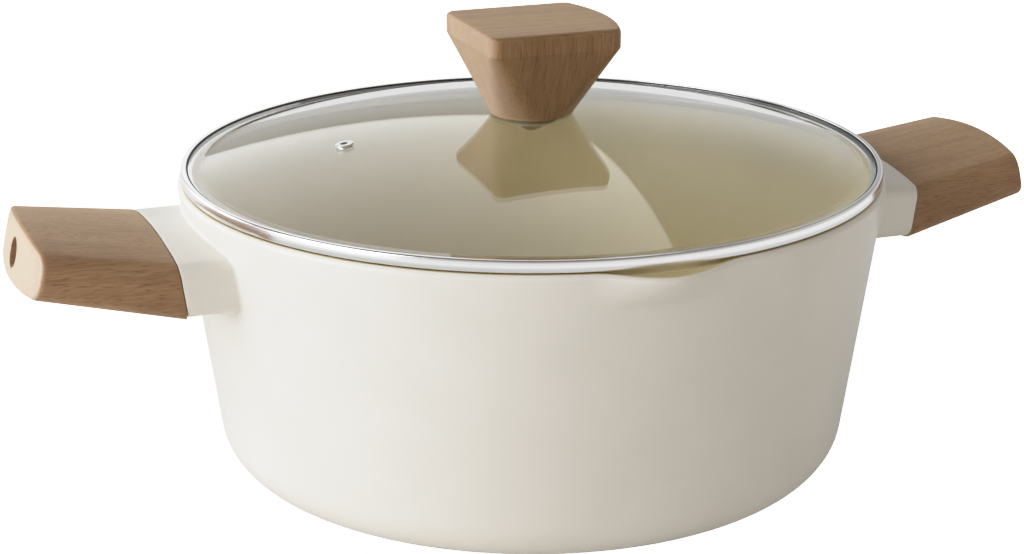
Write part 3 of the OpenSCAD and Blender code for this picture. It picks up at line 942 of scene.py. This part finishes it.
def floor_white():
    """Pale floor: white to the camera, bright in reflections away from the pot, otherwise a soft bounce."""
    look = Look("floor_white")
    look.set(Base_Color=(0.90, 0.87, 0.83, 1), Roughness=0.9)
    rays = look.node("ShaderNodeLightPath")
    shown = look.shader.outputs["BSDF"]
    away = look.node("ShaderNodeVectorMath", operation="LENGTH")
    look.join(look.place(), away.inputs[0])
    mirrored = look.span(away.outputs["Value"], POT_HIGH.y, 4 * POT_HIGH.y, *MIRRORED_GLOW)
    for kind, glow in (("Is Glossy Ray", mirrored), ("Is Camera Ray", FLOOR_GLOW)):
        white = look.node("ShaderNodeEmission")
        look.fill(white.inputs["Strength"], glow)
        choose = look.node("ShaderNodeMixShader")
        look.join(rays.outputs[kind], choose.inputs["Fac"])
        look.join(shown, choose.inputs[1])
        look.join(white.outputs["Emission"], choose.inputs[2])
        shown = choose.outputs["Shader"]
    look.join(shown, look.output.inputs["Surface"])
    return look.material


def floor():
    """The plane the pot stands on, a hair below its base."""
    size = 6
    mesh = bpy.data.meshes.new("floor")
    corners = [(-size, -size, 0), (size, -size, 0), (size, size, 0), (-size, size, 0)]
    mesh.from_pydata(corners, [], [(0, 1, 2, 3)])
    mesh.materials.append(floor_white())
    made = bpy.data.objects.new("floor", mesh)
    made.location.z = -0.2 * MM
    bpy.context.scene.collection.objects.link(made)


def softbox(name, heading, elevation, distance, size, radiance, colour, roll=0.0, offset=(0, 0)):
    """Area light facing the pot from a heading (from +Y towards +X) and an elevation, angles in degrees.

    roll turns it in its own plane and offset then shifts it along its own sides.
    """
    light = bpy.data.lights.new(name, "AREA")
    light.shape = "RECTANGLE"
    light.size, light.size_y = size
    light.energy = radiance * math.pi * size[0] * size[1]
    light.color = colour
    h, e = math.radians(heading), math.radians(elevation)
    way = Vector((math.sin(h) * math.cos(e), math.cos(h) * math.cos(e), math.sin(e)))
    turn = way.to_track_quat("Z", "Y") @ Quaternion((0, 0, 1), math.radians(roll))
    made = bpy.data.objects.new(name, light)
    made.rotation_mode = "QUATERNION"
    made.rotation_quaternion = turn
    made.location = Vector((0, 0, POT_H)) + turn @ Vector((*offset, distance))
    bpy.context.scene.collection.objects.link(made)


def world():
    """Soft studio surroundings: a little brighter behind the pot and darker overhead."""
    made = bpy.data.worlds.new("studio")
    made.use_nodes = True
    tree = made.node_tree
    back = tree.nodes["Background"]
    parts = tree.nodes.new("ShaderNodeSeparateXYZ")
    coords = tree.nodes.new("ShaderNodeTexCoord")
    tree.links.new(coords.outputs["Generated"], parts.inputs["Vector"])

    def fade(axis, low, high, to_low, to_high):
        made = tree.nodes.new("ShaderNodeMapRange")
        made.interpolation_type = "SMOOTHSTEP"
        for key, number in {"From Min": low, "From Max": high, "To Min": to_low, "To Max": to_high}.items():
            made.inputs[key].default_value = number
        tree.links.new(parts.outputs[axis], made.inputs["Value"])
        return made.outputs["Result"]

    def combine(operation, a, b):
        made = tree.nodes.new("ShaderNodeMath")
        made.operation = operation
        tree.links.new(a, made.inputs[0])
        tree.links.new(b, made.inputs[1])
        return made.outputs["Value"]

    around = combine("MULTIPLY", fade("Y", -0.5, 0.7, 0.57, 0.62), fade("Z", 0.45, 0.95, 1.0, 0.35))
    dim = combine("MULTIPLY", fade("Y", 0.2, 0.7, 0, 0.35), fade("Z", 0.08, 0.42, 0, 1))
    tree.links.new(combine("SUBTRACT", around, dim), back.inputs["Strength"])
    warm = tree.nodes.new("ShaderNodeMix")
    warm.data_type = "RGBA"
    tree.links.new(fade("Y", 0.1, 0.7, 0, 1), warm.inputs["Factor"])
    warm.inputs["A"].default_value = (1, 0.95, 0.88, 1)
    warm.inputs["B"].default_value = (0.97, 0.97, 0.98, 1)
    tree.links.new(warm.outputs["Result"], back.inputs["Color"])
    bpy.context.scene.world = made


def film():
    """A soft shoulder for the highlights: true up to 0.6, then easing off to white."""
    view = bpy.context.scene.view_settings
    view.view_transform = "Standard"
    view.use_curve_mapping = True
    curve = view.curve_mapping
    curve.white_level = (FLOOR_GLOW,) * 3
    points = curve.curves[3].points
    points[0].location = (0, 0)
    points[1].location = (1, 1)
    for light, shown in ((0.3, 0.3), (0.6, 0.6), (0.8, 0.76), (1.0, 0.85), (1.25, 0.91), (1.7, 0.95)):
        points.new(light / FLOOR_GLOW, shown)
    curve.update()


def camera():
    """The camera at the height, distance and turn that give the whole pot from its front left."""
    data = bpy.data.cameras.new("camera")
    data.sensor_width = 36
    data.lens = CAMERA_LENS
    made = bpy.data.objects.new("camera", data)
    made.location = CAMERA_SPOT
    made.rotation_euler = (math.pi / 2 - CAMERA_PITCH, 0, -CAMERA_HEADING)
    bpy.context.scene.collection.objects.link(made)
    bpy.context.scene.camera = made


pot_casting()
grip("grip_right", list)
grip("grip_left", half_turn)
lid_glass()
lid_rim()
lid_seal()
knob()
dress_cad_nodes()
floor()
world()
camera()
softbox("key", heading=-95, elevation=16, distance=1.6, size=(1.2, 1.4),
        radiance=4.65, colour=(0.97, 0.99, 1.04))
softbox("side", heading=-40, elevation=10, distance=1.6, size=(0.9, 0.9),
        radiance=3.2, colour=(0.99, 0.99, 1.0))
softbox("window", heading=-46, elevation=48.5, distance=1.0, size=(1.15, 1.5),
        radiance=0.95, colour=(0.98, 0.98, 0.98), roll=-41.9, offset=(-0.747, -0.669))
film()
